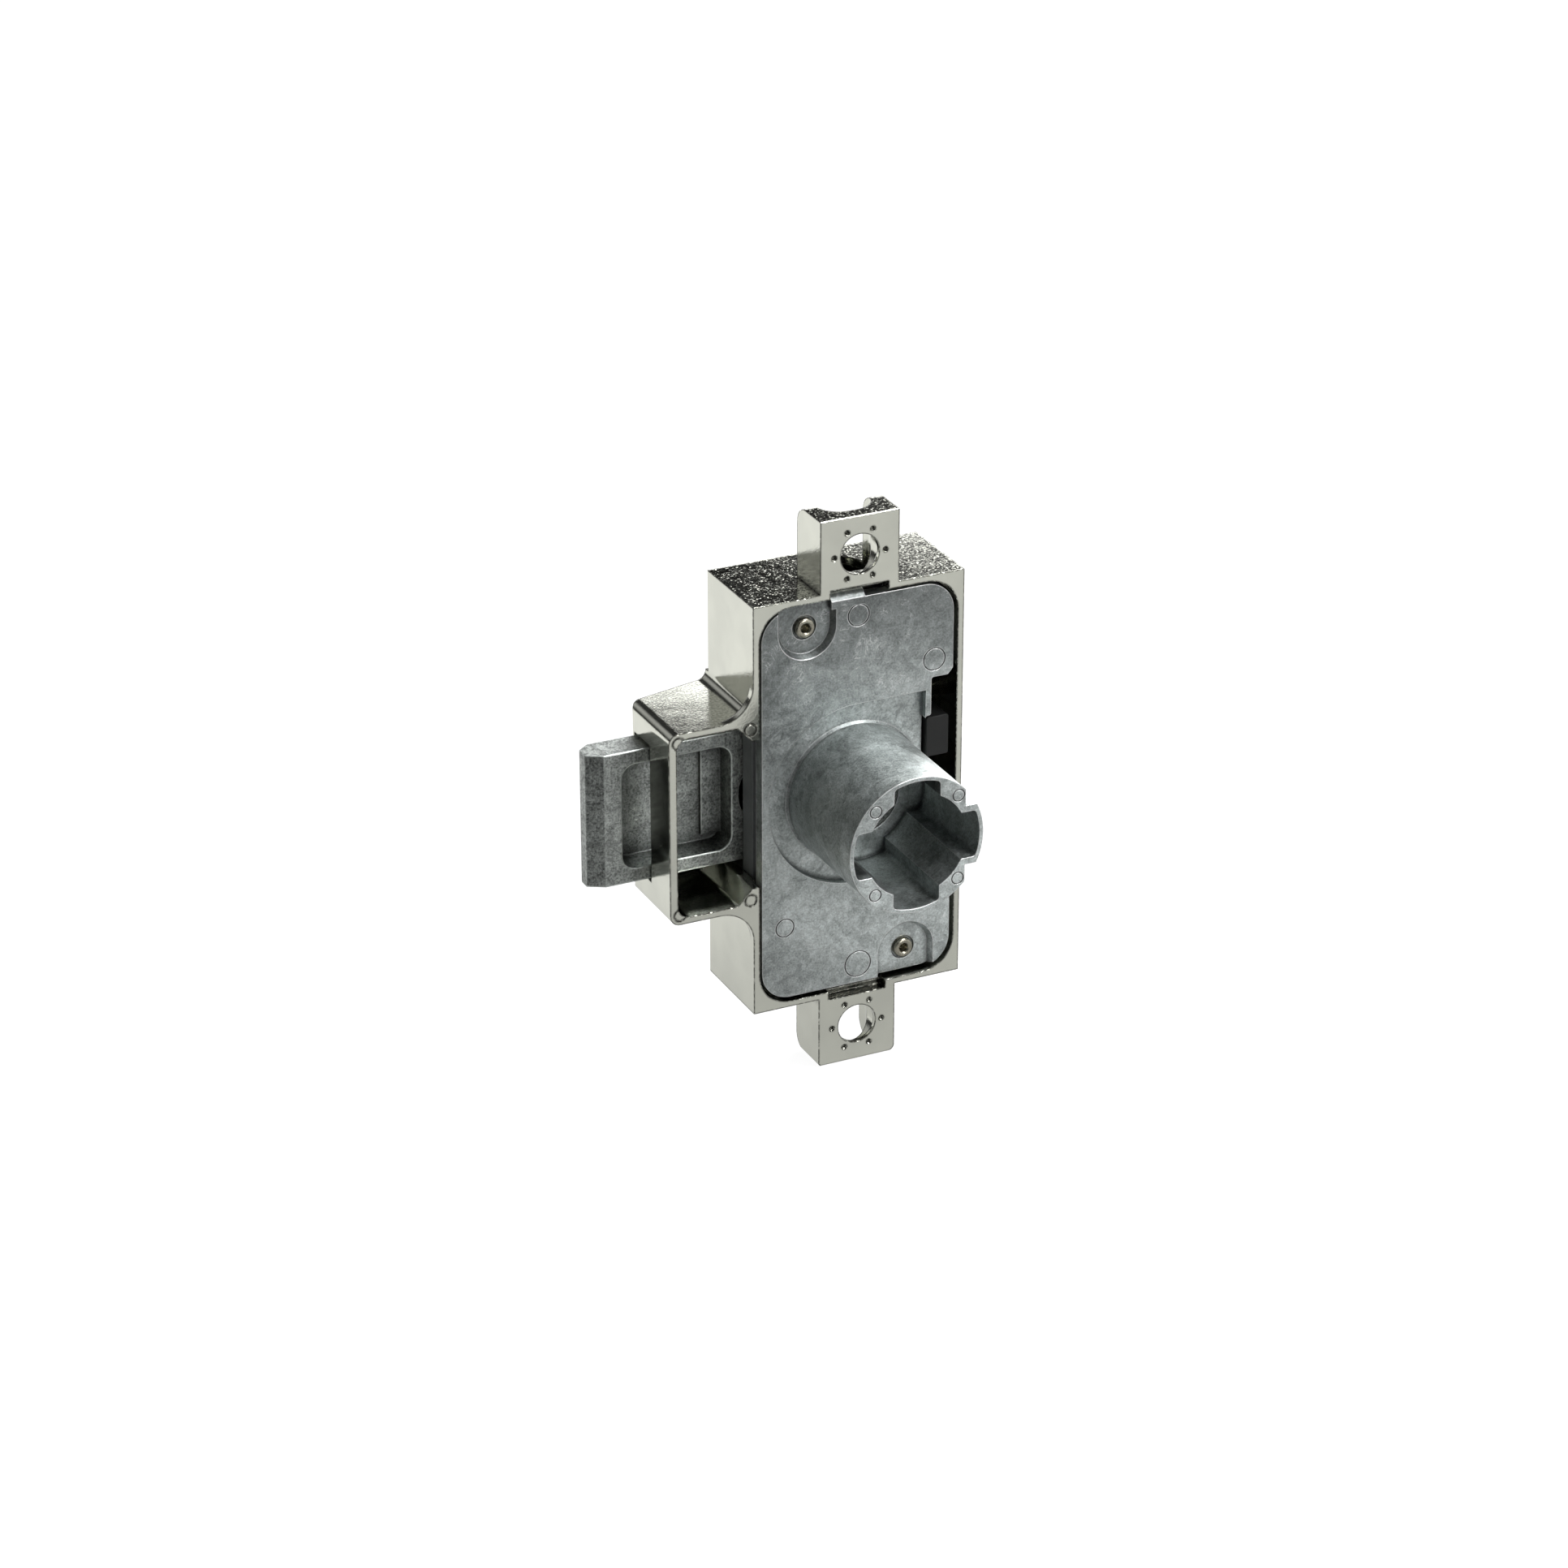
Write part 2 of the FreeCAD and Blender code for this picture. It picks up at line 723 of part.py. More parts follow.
def involute_flank(side):
    """One flank of the tooth at angle zero, from the base circle to the tip, through three points."""
    alpha = math.radians(pressure_angle)
    base = pitch_radius * math.cos(alpha)
    tip = pitch_radius + tooth_module
    thin = tooth_backlash / 4 / pitch_radius
    half_at_pitch = math.pi / (2 * tooth_count) - thin
    points = []
    for radius in (base, (base + tip) / 2, tip):
        there = math.acos(min(1.0, base / radius))
        angle = half_at_pitch + (math.tan(alpha) - alpha) - (math.tan(there) - there)
        points.append((radius, side * angle))
    return points


def polar(radius, angle, y):
    """A point on the drive's cross-section."""
    return V(radius * math.cos(angle), y, radius * math.sin(angle))


def make_teeth():
    """The pinion's toothed length, one outline extruded."""
    root = pitch_radius - tooth_module - root_clearance
    y = teeth_front
    rise = involute_flank(-1)
    fall = list(reversed(involute_flank(1)))
    edges = []
    last = None
    first = None
    for i in range(tooth_count):
        turn = 2 * math.pi * i / tooth_count
        ups = [polar(r, a + turn, y) for r, a in rise]
        downs = [polar(r, a + turn, y) for r, a in fall]
        foot_in = polar(root, rise[0][1] + turn, y)
        foot_out = polar(root, fall[-1][1] + turn, y)
        if last is not None:
            middle = polar(root, turn - math.pi / tooth_count, y)
            edges.append(Part.Arc(last, middle, foot_in).toShape())
        else:
            first = foot_in
        edges.append(Part.makeLine(foot_in, ups[0]))
        edges.append(Part.Arc(*ups).toShape())
        edges.append(Part.Arc(ups[2], polar(pitch_radius + tooth_module, turn, y), downs[0]).toShape())
        edges.append(Part.Arc(*downs).toShape())
        edges.append(Part.makeLine(downs[2], foot_out))
        last = foot_out
    edges.append(Part.Arc(last, polar(root, -math.pi / tooth_count, y), first).toShape())
    return Part.Face(Part.Wire(edges)).extrude(V(0, teeth_back - teeth_front, 0))


def double_flat(dia, flats, y0, y1):
    """A round bar with two flats, left and right."""
    return cyl_y(0, 0, dia, y0, y1).common(box(-flats / 2, flats / 2, y0, y1, -dia, dia))


def make_pinion():
    journal = cyl_y(0, 0, journal_dia, drive_front, disc_front - disc_gap / 2)
    seat = double_flat(seat_dia, seat_flats, disc_front - disc_gap / 2, teeth_front)
    rear_end = case_depth - bush_floor - disc_gap
    rear = cyl_y(0, 0, rear_journal_dia, teeth_back - rear_journal_root, rear_end)
    body = fuse([journal, seat, make_teeth(), rear])
    bottom = drive_front + socket_depth
    length = socket_length / 2
    width = socket_width / 2
    bar = box(-length, length, drive_front - past, bottom, -width, width)
    centre = cyl_y(0, 0, socket_centre_dia, drive_front - past, bottom)
    return cut(body, [bar, turned(bar, 90), centre])


def make_disc():
    """The stop disc: its wide sector meets the stop pin at both ends of the turn."""
    hole = double_flat(seat_dia + 2 * fit_gap, seat_flats + 2 * fit_gap, disc_front - past, disc_back + past)
    core = cyl_y(0, 0, disc_core_dia, disc_front, disc_back)
    wide = cyl_y(0, 0, disc_sector_dia, disc_front, disc_back)
    pin_half = math.degrees(math.asin(stop_pin_dia / stop_pin_circle_dia)) + stop_play_angle
    free_from = stop_pin_angle - pin_half
    free_to = stop_pin_angle + turn_angle + pin_half
    reach = disc_sector_dia
    points = [V(0, disc_front, 0)]
    steps = 6
    for i in range(steps + 1):
        angle = math.radians(free_from + (free_to - free_from) * i / steps)
        points.append(polar(reach, angle, disc_front))
    points.append(points[0])
    gap = Part.Face(Part.makePolygon(points)).extrude(V(0, disc_thickness, 0))
    return fuse([core, wide.cut(gap)]).cut(hole)


def make_stop_pin():
    front = cover_back - stop_pin_grip + pin_end_gap
    return cyl_y(0, -stop_pin_circle_dia / 2, stop_pin_dia, front, disc_back)


def make_bush():
    seat = flange_front + bush_flange_thickness
    body = fuse([cyl_y(0, 0, bush_flange_dia, flange_front, seat),
                 cyl_y(0, 0, bush_dia, flange_front, case_depth - bush_floor - fit_gap)])
    return body.cut(cyl_y(0, 0, rear_journal_dia + 2 * running_gap, flange_front - past, case_depth))


def make_washer():
    """A conical spring washer between the pinion and its rear bush."""
    inner = rear_journal_dia / 2 + 2 * running_gap
    outer = washer_dia / 2
    front = teeth_back + running_gap
    section = Part.makePolygon([
        V(inner, front, 0), V(outer, front + washer_dish, 0),
        V(outer, front + washer_dish + washer_thickness, 0), V(inner, front + washer_thickness, 0),
        V(inner, front, 0)])
    return Part.Face(section).revolve(V(0, 0, 0), V(0, 1, 0), 360)


# Racks

def rack_teeth(y0, y1):
    """Teeth that point down at the pinion from above, pitch line on z = pitch radius."""
    alpha = math.radians(pressure_angle)
    half = tooth_pitch / 4 - tooth_backlash / 4
    tip_z = pitch_radius - tooth_module
    top = rack_root + rack_lap
    teeth = []
    for i in range(rack_first, rack_last + 1):
        x = (i + 0.5) * tooth_pitch
        tip_half = half - tooth_module * math.tan(alpha)
        root_half = half + (tooth_module + root_clearance) * math.tan(alpha)
        teeth.append(plate_y([(x - tip_half, tip_z, 0), (x + tip_half, tip_z, 0),
                              (x + root_half, rack_root, 0), (x + root_half, top, 0),
                              (x - root_half, top, 0), (x - root_half, rack_root, 0)], y0, y1))
    return teeth


# Deadbolt

def make_bolt():
    half = bolt_height / 2
    tip = -bolt_reach
    body = plate_z([
        (tip, bolt_front + nose_front_depth, bolt_edge_round),
        (tip + nose_front_length, bolt_front, bolt_edge_round),
        (arm_end_x, bolt_front, bolt_edge_round),
        (arm_end_x, bolt_back, bolt_edge_round),
        (tip + nose_back_length, bolt_back, nose_round),
        (tip, bolt_back - nose_back_depth, nose_round),
    ], -half, half)
    gap_half = arm_gap / 2
    gap_left = arm_root_x - gap_half
    arm_gap_cut = plate_y([
        (gap_left, -gap_half, gap_half),
        (arm_end_x + past, -gap_half, 0),
        (arm_end_x + past, gap_half, 0),
        (gap_left, gap_half, gap_half),
    ], bolt_front - past, bolt_back + past)
    pocket_half = pocket_height / 2
    d = pocket_draft
    mouth = rect(pocket_left, pocket_right, -pocket_half, pocket_half, pocket_corner)
    foot = rect(pocket_left + d, pocket_right - d, -pocket_half + d, pocket_half - d, pocket_corner - d)
    pocket = tapered_y(mouth, foot, bolt_front, bolt_front + pocket_depth)
    slot_z = guide_pin_dia / 2 + bolt_play
    guide_slot = plate_y(rect(guide_pin_x - travel - 2 * slot_z, guide_pin_x + 2 * slot_z,
                              guide_pin_z - slot_z, guide_pin_z + slot_z, slot_z),
                         bolt_front - past, bolt_back + past)
    notches = []
    for x in (detent_x, detent_x - travel):
        left = x - detent_notch_half
        right = x + detent_notch_half
        outline = [(left, -half, 0), (x, -half + detent_notch_depth, detent_notch_round), (right, -half, 0),
                   (right, -half - past, 0), (left, -half - past, 0)]
        notches.append(plate_y(outline, bolt_front - past, bolt_back + past))
    body = cut(body, [arm_gap_cut, pocket, guide_slot] + notches)
    floor = bolt_front + pocket_depth
    step = box(pocket_step_x, pocket_right + pocket_step_end_lap, floor - pocket_step_rise,
               floor + pocket_step_lap, -pocket_half + pocket_step_inset, pocket_half)
    lip = box(rack_low, rack_high, rack_front, rack_back, rack_root, gap_half + rack_lap)
    return fuse([body, step, lip] + rack_teeth(rack_front, rack_back))


def make_guide_pin():
    return cyl_y(guide_pin_x, guide_pin_z, guide_pin_dia, bolt_front + guide_pin_recess,
                 rail_front + guide_pin_grip - pin_end_gap)


def make_detent():
    """A bent strip whose bump sits in the bolt's notch."""
    base = -bolt_height / 2 - detent_strip_drop
    x = detent_x
    end = detent_strip_half
    foot = end - detent_foot_length
    bend = end * detent_shoulder_share
    shoulder = base + detent_bump_rise - detent_shoulder_drop
    side = shoulder + detent_bump_step
    peak = base + detent_strip_drop + detent_bump_lap
    top = [(-end, base), (-foot, base), (-bend, shoulder), (-detent_bump_half, side), (0.0, peak),
           (detent_bump_half, side), (bend, shoulder), (foot, base), (end, base)]
    t = detent_strip_thickness
    points = [(x + u, v, 0) for u, v in top] + [(x + u, v - t, 0) for u, v in reversed(top)]
    middle = (bolt_front + bolt_back) / 2
    return plate_y(points, middle - detent_strip_width / 2, middle + detent_strip_width / 2)


# Rod slides

def slide_blank():
    """The left slide, which carries the lower rod: rack on its right edge, foot at its lower end."""
    outer = -cavity_half_w + slide_play
    foot_top = slide_low + slide_foot_height
    r = slide_edge_round
    outline = [
        (outer, slide_low, slide_corner),
        (slide_foot_reach, slide_low, r),
        (slide_foot_reach, foot_top, r),
        (-slide_inner, foot_top, r),
        (-slide_inner, rack_low, slide_rack_corner),
        (-rack_root, rack_low, slide_rack_inner_corner),
        (-rack_root, rack_high, slide_rack_inner_corner),
        (-slide_inner, rack_high, slide_rack_corner),
        (-slide_inner, slide_short_end, r),
        (outer, slide_short_end, r),
    ]
    plate = plate_y(outline, slide_front, slide_back)
    teeth = [turned(t, -90) for t in rack_teeth(slide_front, slide_back)]
    z = slide_low + rod_pin_inset
    hole = cyl_y(0, z, rod_pin_dia + 2 * fit_gap, slide_front - past, slide_back + past)
    head = cyl_y(0, z, rod_pin_head_dia + 2 * fit_gap, slide_front - past,
                 slide_front + rod_pin_head_thickness)
    return cut(fuse([plate] + teeth), [hole, head])


def make_rod_pin():
    z = slide_low + rod_pin_inset
    head = cyl_y(0, z, rod_pin_head_dia, slide_front, slide_front + rod_pin_head_thickness - fit_gap)
    shank = cyl_y(0, z, rod_pin_dia, slide_front, slide_back + rod_pin_reach)
    return fuse([head, shank])


def make_upper_slide():
    """The right slide: the left one turned half round, relieved behind the window, with its nub."""
    plate = turned(slide_blank(), 180)
    relief = box(window_left - slide_relief_gap, cavity_half_w + past, slide_front - past, slide_back + past,
                 -slide_short_end - past, slide_relief_top)
    nub = plate_y(rect(nub_left, nub_right, nub_bottom, nub_top, nub_round),
                  cover_front + nub_sink, slide_back)
    bridge = box(window_left - nub_bridge_reach, nub_left + nub_bridge_lap, slide_front, slide_back,
                 nub_bottom + nub_bridge_inset, nub_top - nub_bridge_inset)
    return fuse([plate.cut(relief), nub, bridge])


save("case", make_case())
save("cover_plate", make_cover())
save("cover_rivets", make_rivets())
save("deadbolt", make_bolt())
save("drive_pinion", make_pinion())
save("stop_disc", make_disc())
save("stop_pin", make_stop_pin())
save("rear_bush", make_bush())
save("spring_washer", make_washer())
save("bolt_guide_pin", make_guide_pin())
save("detent_spring", make_detent())
save("lower_rod_slide", slide_blank())
save("lower_rod_pin", make_rod_pin())
save("upper_rod_slide", make_upper_slide())
save("upper_rod_pin", turned(make_rod_pin(), 180))
print("bolt and slide travel %.3f mm for %.0f degrees" % (travel, turn_angle))
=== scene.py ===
import math

import bpy
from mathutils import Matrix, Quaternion, Vector


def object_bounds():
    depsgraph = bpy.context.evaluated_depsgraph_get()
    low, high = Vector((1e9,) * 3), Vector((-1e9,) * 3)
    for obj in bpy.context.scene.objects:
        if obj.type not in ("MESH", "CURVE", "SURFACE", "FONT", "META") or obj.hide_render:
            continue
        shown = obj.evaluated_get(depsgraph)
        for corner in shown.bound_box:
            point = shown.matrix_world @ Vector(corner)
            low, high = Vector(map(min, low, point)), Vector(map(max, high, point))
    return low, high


# Looks of the espagnolette lock: metres, in the row's frame, with X right, Y back and Z up.

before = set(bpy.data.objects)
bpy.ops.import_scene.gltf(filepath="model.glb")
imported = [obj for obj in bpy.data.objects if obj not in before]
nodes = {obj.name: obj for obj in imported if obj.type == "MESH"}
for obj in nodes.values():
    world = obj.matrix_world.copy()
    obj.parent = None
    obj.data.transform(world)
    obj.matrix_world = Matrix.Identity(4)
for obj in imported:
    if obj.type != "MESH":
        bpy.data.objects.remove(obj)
cad_low, cad_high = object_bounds()

mm = 0.001
origin = (0.0, 0.0, 0.0)
none_to_full = (0.0, 1.0)
full_to_none = (1.0, 0.0)
plain_white = (1.0, 1.0, 1.0, 1.0)

# Noise lies round its middle. A wide range of it gives soft changes, a narrower one clearer ones.
noise_middle = 0.5
noise_wide = (0.3, 0.7)
noise_clear = (0.35, 0.65)
noise_sharp = (0.40, 0.60)

# Camera: fitted to the corners of the case, the lugs, the bolt housing and the sleeve's tip
camera_place = (-0.24099, -0.48514, 0.25800)
camera_turn = math.radians(25.447)
camera_tilt = math.radians(25.354)
focal_length_pixels = 5999.6
picture_width_pixels = 1932
sensor_width = 36.0
camera_sees_from = 0.01
camera_sees_to = 20.0

# Room: dark, with one light low on the right, one behind on the left, and faint ones above and in front
room_light = 0.04
ceiling_light = 0.16
side_light = 1.25
rear_light = 0.45
front_light = 0.06

# Where those lights lie: a part of the direction of sight, from where they start to where they are full
side_is_right = (0.40, 0.52)
side_is_low = (0.44, 0.26)
rear_is_left = (-0.10, -0.30)
rear_is_behind = (0.50, 0.75)
rear_is_raised = (0.15, 0.35)
ceiling_is_above = (0.75, 1.0)
front_is_before = (-0.2, -0.8)

# Floor: what reflections see of it is a glow of painted light, darker in front, in a painted shadow near the
# lock and in the left front corner
floor_half = 3.0
floor_gap = 0.2 * mm
floor_grey = (0.86, 0.86, 0.86, 1.0)
floor_tint = (1.0, 1.0, 0.99, 1.0)
floor_white = 1.12
floor_white_share = 0.85
floor_front_light = 0.62
floor_back_light = 0.91
floor_near_share = 0.66
floor_corner_share = 0.06
floor_front_to_back = (-50 * mm, 40 * mm)
floor_near_to_far = (35 * mm, 110 * mm)
floor_corner_to_side = (-90 * mm, -35 * mm)
floor_corner_to_back = (-30 * mm, 20 * mm)

# Masks: how far the softened normal leans where an edge starts and where it is full, as cosines, and the rays
edge_lean = (0.998, 0.955)
mask_rays = 6

# Nickel plate
nickel_light = (0.79, 0.80, 0.715)
nickel_warm = (0.72, 0.73, 0.655)
# Near black, painted as shade and dark reflection on edges, in corners, in flecks on top and in the notch
nickel_painted_dark = (0.022, 0.021, 0.017)
nickel_edge_radius = 0.32 * mm
# Painted shade in inside corners: how far it reaches, where it starts and how dark it gets
nickel_corner_reach = 1.3 * mm
nickel_corner_opening = (0.45, 0.92)
nickel_corner_share = 0.80
nickel_cloud_size = 6.0 * mm
nickel_stain_size = 1.6 * mm
nickel_speck_size = 0.45 * mm
nickel_wave_size = 3.2 * mm
nickel_wave_depth = 0.020 * mm
nickel_grain_size = 0.28 * mm
nickel_grain_depth = 0.012 * mm
nickel_rough = (0.05, 0.16)
nickel_line_rough = 0.45
nickel_frost_rough = 0.43
# Painted dark reflection: the darkness of the flecks and the gaps in the edge lines
nickel_fleck_share = 0.88
nickel_line_gaps = (0.50, 0.66)
nickel_line_gap_share = 0.12

# The nickel's grainy skin on the faces that look up, with flecks of painted dark reflection, and painted
# shade in the notch of the case's lower rim
skin_size = 0.30 * mm
skin_facing = (0.90, 0.99)
skin_height = (14.0 * mm, 24.0 * mm)
skin_low_share = 0.35
skin_flecks = (0.40, 0.56)
skin_frost = (0.60, 0.66)
notch_height = (-18.0 * mm, -22.0 * mm)
notch_share = 0.90

# Raw zinc
zinc_flow_size = 5.0 * mm
zinc_mottle_size = 0.9 * mm
zinc_mottle_depth = 0.045 * mm
zinc_vein_size = 3.0 * mm
zinc_pit_size = 0.8 * mm
zinc_pit_rim = (0.03, 0.12)
zinc_pit_share = 0.40
# zinc_corner_share sets painted shade in inside corners, zinc_edge_share a painted highlight along edges
zinc_corner_share = 0.85
zinc_edge_share = 0.75
zinc_smear_share = 0.5
zinc_smear_least = 0.2
zinc_smear_veins = (0.56, 0.66)
zinc_streak_share = 0.42
zinc_streak_width = 0.014
zinc_streak_flow = (0.47, 0.60)
zinc_stain_and_shade_darkness = 0.22
zinc_metal = 0.9

# The cover carries painted light: its colour is brightest low on its right and fades from there
cover_bright_side = 7.0 * mm
cover_bright_height = -9.0 * mm
cover_fade = (14.0 * mm, 34.0 * mm)
cover_fade_share = 0.38

# The sleeve's bore, painted with shade that is darker towards its upper left
bore_radius = 8.6 * mm
bore_rim = 0.15 * mm
bore_mouth = -15.9 * mm
bore_mouth_depth = 1.6 * mm
bore_slope = (-6.0 * mm, 6.0 * mm)
bore_share = (0.05, 0.88)
bore_shade_colour = (0.016, 0.0195, 0.022)

# Turned steel, with a painted highlight along its edges
steel_edge_radius = 0.10 * mm
steel_edge_share = 0.5
steel_edge_shine = 1.3
steel_rub_size = 0.7 * mm
steel_rub_darkness = 0.72
steel_rough_spread = (0.75, 1.3)
steel_scratch_size = 0.12 * mm
steel_scratch_depth = 0.006 * mm

# Moulded plastic, with a painted highlight along its edges
plastic_edge_radius = 0.15 * mm
plastic_edge_share = 0.25
plastic_edge_shine = 1.8
plastic_cloud_size = 4.0 * mm
plastic_cloud_darkness = 0.85
plastic_rough_spread = (0.9, 1.15)
plastic_grain_size = 0.15 * mm
plastic_grain_depth = 0.008 * mm
plastic_gloss = 0.35


# Shader building blocks

def feed(tree, socket, value):
    """Gives a socket a number, a tuple of numbers or the output of another node."""
    if isinstance(value, (int, float, tuple)):
        socket.default_value = value
    else:
        tree.links.new(value, socket)


def new_material(name):
    """A material with an empty tree but for its output and one principled shader."""
    material = bpy.data.materials.new(name)
    material.use_nodes = True
    tree = material.node_tree
    tree.nodes.clear()
    out = tree.nodes.new("ShaderNodeOutputMaterial")
    shader = tree.nodes.new("ShaderNodeBsdfPrincipled")
    tree.links.new(shader.outputs["BSDF"], out.inputs["Surface"])
    return material, tree, shader


def place_of(tree):
    """Positions in metres on the piece itself."""
    return tree.nodes.new("ShaderNodeTexCoord").outputs["Object"]


def axes(tree, vector):
    """The three parts of a vector."""
    split = tree.nodes.new("ShaderNodeSeparateXYZ")
    tree.links.new(vector, split.inputs["Vector"])
    return split.outputs["X"], split.outputs["Y"], split.outputs["Z"]


def noise(tree, where, size, detail, roughness, distortion=0.0):
    """Cloudy values whose features are about this many metres across."""
    node = tree.nodes.new("ShaderNodeTexNoise")
    node.inputs["Scale"].default_value = 1.0 / size
    node.inputs["Detail"].default_value = detail
    node.inputs["Roughness"].default_value = roughness
    node.inputs["Distortion"].default_value = distortion
    tree.links.new(where, node.inputs["Vector"])
    return node.outputs["Fac"]


def cells(tree, where, size):
    """Distances from the middles of cells that are about this many metres across."""
    node = tree.nodes.new("ShaderNodeTexVoronoi")
    node.feature = "F1"
    node.inputs["Scale"].default_value = 1.0 / size
    tree.links.new(where, node.inputs["Vector"])
    return node.outputs["Distance"]


def remap(tree, value, reads, gives=none_to_full):
    """A value moved from one range to another, held at its ends."""
    node = tree.nodes.new("ShaderNodeMapRange")
    node.inputs["From Min"].default_value, node.inputs["From Max"].default_value = reads
    node.inputs["To Min"].default_value, node.inputs["To Max"].default_value = gives
    tree.links.new(value, node.inputs["Value"])
    return node.outputs["Result"]


def combine(tree, operation, first, second):
    """Two values, or a value and a number, put together by one operation."""
    node = tree.nodes.new("ShaderNodeMath")
    node.operation = operation
    feed(tree, node.inputs[0], first)
    feed(tree, node.inputs[1], second)
    return node.outputs["Value"]


def combine_all(tree, operation, values):
    """Several values put together by one operation, one after the other."""
    result = values[0]
    for value in values[1:]:
        result = combine(tree, operation, result, value)
    return result


def product(tree, *values):
    """Several values multiplied."""
    return combine_all(tree, "MULTIPLY", values)


def highest(tree, *values):
    """The highest of several values."""
    return combine_all(tree, "MAXIMUM", values)


def total(tree, *values):
    """Several values added up."""
    return combine_all(tree, "ADD", values)


def times(tree, colour, share):
    """A colour made lighter or darker by a value."""
    node = tree.nodes.new("ShaderNodeVectorMath")
    node.operation = "SCALE"
    tree.links.new(colour, node.inputs[0])
    tree.links.new(share, node.inputs["Scale"])
    return node.outputs["Vector"]


def scaled(colour, factor):
    """A colour triple made lighter or darker by a number, 1 at most."""
    return tuple(min(1.0, part * factor) for part in colour)


def blend_colours(tree, share, first, second):
    """One colour turning into another; each is a socket or a triple."""
    node = tree.nodes.new("ShaderNodeMix")
    node.data_type = "RGBA"
    tree.links.new(share, node.inputs["Factor"])
    for name, value in (("A", first), ("B", second)):
        socket = [s for s in node.inputs if s.name == name and s.type == "RGBA"][0]
        feed(tree, socket, (*value, 1.0) if isinstance(value, tuple) else value)
    return [s for s in node.outputs if s.type == "RGBA"][0]


def blend_shaders(tree, share, first, second):
    """One shader turning into another."""
    node = tree.nodes.new("ShaderNodeMixShader")
    feed(tree, node.inputs["Fac"], share)
    tree.links.new(first, node.inputs[1])
    tree.links.new(second, node.inputs[2])
    return node.outputs["Shader"]


def distance(tree, where, start=origin, counted=(1.0, 1.0, 1.0)):
    """Distance from a point, along the counted axes only."""
    moved = tree.nodes.new("ShaderNodeVectorMath")
    moved.operation = "MULTIPLY_ADD"
    tree.links.new(where, moved.inputs[0])
    moved.inputs[1].default_value = counted
    moved.inputs[2].default_value = tuple(-count * part for count, part in zip(counted, start))
    length = tree.nodes.new("ShaderNodeVectorMath")
    length.operation = "LENGTH"
    tree.links.new(moved.outputs["Vector"], length.inputs[0])
    return length.outputs["Value"]


def distance_seen_from_front(tree, where, side=0.0, height=0.0):
    """Distance from a line that runs from front to back."""
    return distance(tree, where, (side, 0.0, height), (1.0, 0.0, 1.0))


def rounded_edges(tree, radius):
    """The surface's normal with its edges softened to this radius."""
    node = tree.nodes.new("ShaderNodeBevel")
    node.samples = mask_rays
    node.inputs["Radius"].default_value = radius
    return node.outputs["Normal"]


def edge_mask(tree, soft_normal):
    """Near 1 along edges and 0 on open faces."""
    geometry = tree.nodes.new("ShaderNodeNewGeometry")
    dot = tree.nodes.new("ShaderNodeVectorMath")
    dot.operation = "DOT_PRODUCT"
    tree.links.new(soft_normal, dot.inputs[0])
    tree.links.new(geometry.outputs["Normal"], dot.inputs[1])
    return remap(tree, dot.outputs["Value"], reads=edge_lean)


def corner_shade_mask(tree, reach, opening):
    """Painted shade: near 1 in inside corners, where ambient occlusion finds shade, and 0 on open faces."""
    node = tree.nodes.new("ShaderNodeAmbientOcclusion")
    node.samples = mask_rays
    node.only_local = True
    node.inputs["Distance"].default_value = reach
    return remap(tree, node.outputs["AO"], reads=opening, gives=full_to_none)


def bump(tree, height, depth, normal):
    """The normal after a relief of this depth in metres."""
    node = tree.nodes.new("ShaderNodeBump")
    node.inputs["Strength"].default_value = 1.0
    node.inputs["Distance"].default_value = depth
    tree.links.new(height, node.inputs["Height"])
    tree.links.new(normal, node.inputs["Normal"])
    return node.outputs["Normal"]


# Materials

def top_skin(tree, where):
    """Flecks of painted dark reflection and frosted spots on the faces that look up; the lower rim's notch is
    painted all dark as shade.
    """
    normal = tree.nodes.new("ShaderNodeNewGeometry").outputs["Normal"]
    facing = remap(tree, axes(tree, normal)[2], reads=skin_facing)
    height = axes(tree, where)[2]
    upward = product(tree, facing, remap(tree, height, reads=skin_height, gives=(skin_low_share, 1.0)))
    notch = product(tree, facing, remap(tree, height, reads=notch_height, gives=(0.0, notch_share)))
    skin = noise(tree, where, skin_size, detail=2.0, roughness=0.6)
    # The flecks are painted dark reflection on the grainy skin; the notch is painted shade
    flecks = product(tree, upward, remap(tree, skin, reads=skin_flecks, gives=(nickel_fleck_share, 0.0)))
    frost = product(tree, upward, remap(tree, skin, reads=skin_frost, gives=(0.0, nickel_frost_rough)))
    return highest(tree, flecks, notch), frost


